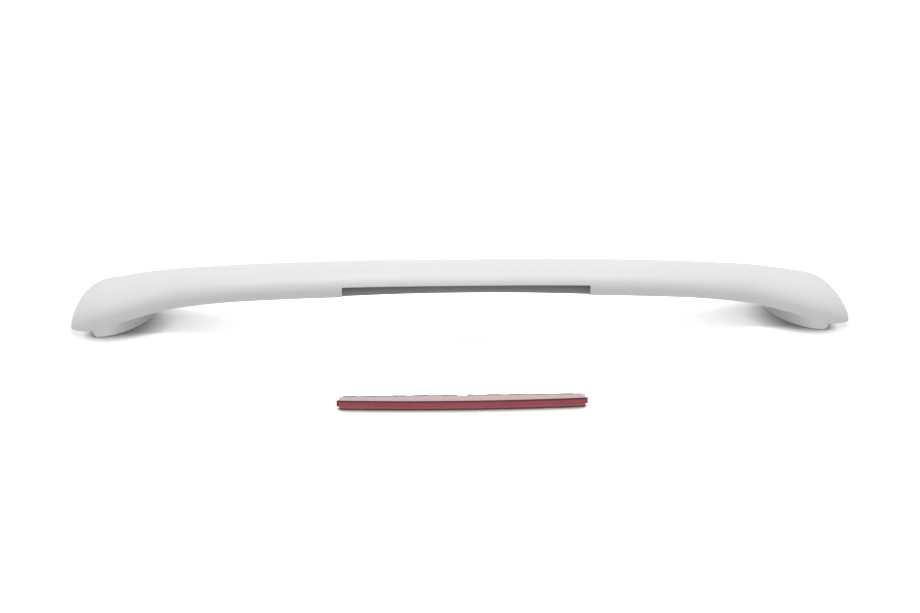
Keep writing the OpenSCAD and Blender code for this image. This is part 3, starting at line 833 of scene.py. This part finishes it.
# Room: the floor's own colour carries the photo's white
light = {
    "floor": 0.8, "floorDrift": 0.01, "floorSeen": 2.3, "floorHalf": 15000, "world": 0.5,
    "power": 44, "place": (0, 0.45, 2.6), "wide": 3.0, "deep": 1.6,
    "contact": 0.05, "contactPower": 2.3, "contactLean": (0, 0.9, 0.45),  # the shade close to the object
    "lampPower": 0.9, "lampFrom": -0.22, "lampTo": -0.14, "lampEdge": -0.18,  # weaker round the lamp, by y
    "innerShare": 0.22, "innerFrom": 0.44, "innerTo": 0.54,  # weaker inward of the feet, by x
    "tipClear": 0.8, "tipFrom": 0.572, "tipTo": 0.592,  # and mostly taken away under the tips
}


def seenDirectly(tree):  # 1 for camera rays, and 1 for mirror and glass rays
    path = addNode(tree, "ShaderNodeLightPath").outputs
    mirror = addNode(tree, "ShaderNodeMath", {0: path["Is Glossy Ray"], 1: path["Is Transmission Ray"]},
                     operation="MAXIMUM")
    return path["Is Camera Ray"], mirror.outputs[0]


def buildFloor():
    material = bpy.data.materials.new("paleFloor")
    material.use_nodes = True
    tree = material.node_tree
    tree.nodes.clear()
    camera, mirror = seenDirectly(tree)
    place = addNode(tree, "ShaderNodeTexCoord").outputs["Object"]
    axes = addNode(tree, "ShaderNodeSeparateXYZ", {0: place}).outputs
    tint = addNode(tree, "ShaderNodeTexNoise", {"Vector": place, "Scale": 3.0})
    shade = addNode(tree, "ShaderNodeMapRange", {
        "Value": tint.outputs["Fac"], "To Min": light["floor"] - light["floorDrift"],
        "To Max": light["floor"] + light["floorDrift"]})
    plain = addNode(tree, "ShaderNodeBsdfDiffuse", {"Color": shade.outputs[0]})
    # the photo's floor is overexposed, and darkens only close to the object
    lean = addNode(tree, "ShaderNodeCombineXYZ", dict(enumerate(light["contactLean"])))
    near = addNode(tree, "ShaderNodeAmbientOcclusion", {"Distance": light["contact"], "Normal": lean.outputs[0]},
                   samples=6)
    power = addNode(tree, "ShaderNodeMapRange", {
        "Value": axes["Y"], "From Min": light["lampFrom"], "From Max": light["lampTo"],
        "To Min": light["lampPower"], "To Max": light["contactPower"]})
    side = addNode(tree, "ShaderNodeMath", {0: axes["X"]}, operation="ABSOLUTE").outputs[0]
    inner = addNode(tree, "ShaderNodeMapRange", {
        "Value": side, "From Min": light["innerFrom"], "From Max": light["innerTo"],
        "To Min": light["innerShare"]}, interpolation_type="SMOOTHSTEP")
    lamps = addNode(tree, "ShaderNodeMath", {0: axes["Y"], 1: light["lampEdge"]}, operation="LESS_THAN")
    share = addNode(tree, "ShaderNodeMath", {0: inner.outputs[0], 1: lamps.outputs[0]}, operation="MAXIMUM")
    both = addNode(tree, "ShaderNodeMath", {0: power.outputs[0], 1: share.outputs[0]}, operation="MULTIPLY")
    contact = addNode(tree, "ShaderNodeMath", {0: near.outputs["AO"], 1: both.outputs[0]}, operation="POWER")
    seen = addNode(tree, "ShaderNodeMath", {0: contact.outputs[0], 1: light["floorSeen"]}, operation="MULTIPLY")
    bright = addNode(tree, "ShaderNodeBsdfDiffuse", {"Color": seen.outputs[0]})
    white = addNode(tree, "ShaderNodeEmission", {"Color": (1, 1, 1, 1), "Strength": 1.0})
    beside = addNode(tree, "ShaderNodeMapRange", {
        "Value": side, "From Min": light["tipFrom"], "From Max": light["tipTo"], "To Max": light["tipClear"]})
    direct = addNode(tree, "ShaderNodeMixShader", {0: beside.outputs[0], 1: bright.outputs[0], 2: white.outputs[0]})
    one = addNode(tree, "ShaderNodeMixShader", {0: camera, 1: plain.outputs[0], 2: direct.outputs[0]})
    two = addNode(tree, "ShaderNodeMixShader", {0: mirror, 1: one.outputs[0], 2: white.outputs[0]})
    link(tree, two.outputs[0], addNode(tree, "ShaderNodeOutputMaterial").inputs["Surface"])
    half = light["floorHalf"]
    corners = [(-half, -half, 0), (half, -half, 0), (half, half, 0), (-half, half, 0)]
    meshFrom("floor", corners, [(0, 1, 2, 3)], material)


def buildWorld():
    world = bpy.data.worlds.new("room")
    bpy.context.scene.world = world
    world.use_nodes = True
    tree = world.node_tree
    background = tree.nodes["Background"]
    camera, mirror = seenDirectly(tree)
    direct = addNode(tree, "ShaderNodeMath", {0: camera, 1: mirror}, operation="MAXIMUM")
    strength = addNode(tree, "ShaderNodeMapRange", {"Value": direct.outputs[0], "To Min": light["world"]})
    link(tree, strength.outputs["Result"], background.inputs["Strength"])
    background.inputs["Color"].default_value = (1, 1, 1, 1)


def softLight(name, place, aim, wide, deep, power):
    data = bpy.data.lights.new(name, "AREA")
    data.shape, data.size, data.size_y, data.energy = "RECTANGLE", wide, deep, power
    source = bpy.data.objects.new(name, data)
    source.location = place
    source.rotation_euler = (Vector(aim) - Vector(place)).to_track_quat("-Z", "Y").to_euler()
    bpy.context.scene.collection.objects.link(source)


buildFloor()
buildWorld()
softLight("overhead", light["place"], (0, 0, 0), light["wide"], light["deep"], light["power"])
bpy.context.scene.view_settings.view_transform = "Standard"
print("room lit")
